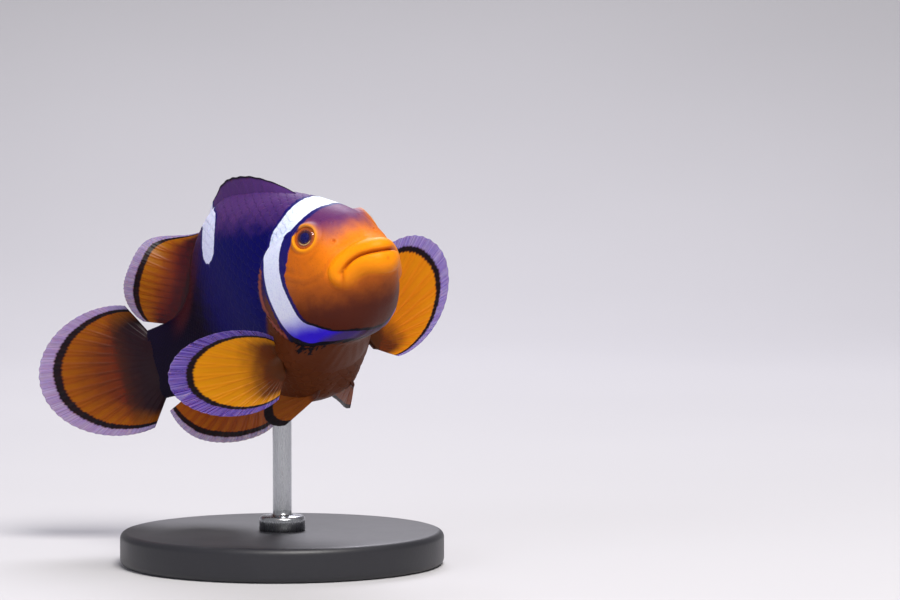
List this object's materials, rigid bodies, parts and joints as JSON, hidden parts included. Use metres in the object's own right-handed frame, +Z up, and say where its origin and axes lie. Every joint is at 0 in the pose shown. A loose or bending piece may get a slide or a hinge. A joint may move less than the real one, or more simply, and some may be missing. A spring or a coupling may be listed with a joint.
{
  "type": "clownfish display model",
  "caption": "Life-size orange, white and black clownfish, head turned and tail bent as it swims, held by a short rod on a flat round display base.",
  "frame": {"origin": "centre of the stand base's flat underside", "axes": "+Z up; +X the way the head points, seen from above; +Y to the fish's left"},
  "size_m": [0.0702, 0.0501, 0.0576],
  "materials": {
    "body_skin": "satin, wet-looking skin in orange, white and near-black",
    "dark_fin": "satin, dark purple-brown rays and web",
    "orange_fin": "satin rays and web with a black band and a clear rim",
    "yellow_fin": "satin rays and web with a black band and a clear rim",
    "eye": "glossy",
    "stand_base": "satin black",
    "stand_rod": "brushed"
  },
  "bodies": {
    "root": {"head": "body_skin", "lower_jaw": "body_skin", "gill_cover_left": "body_skin", "gill_cover_right": "body_skin", "eye_left": "eye", "eye_right": "eye", "trunk": "body_skin", "tail_stem": "body_skin", "dorsal_fin_front": "dark_fin", "dorsal_fin_rear": "orange_fin", "anal_fin": "orange_fin", "tail_fin": "orange_fin", "pectoral_fin_left": "yellow_fin", "pectoral_fin_right": "yellow_fin", "pelvic_fin_left": "orange_fin", "pelvic_fin_right": "orange_fin", "stand_base": "stand_base", "stand_rod": "stand_rod"}
  },
  "joints": []
}
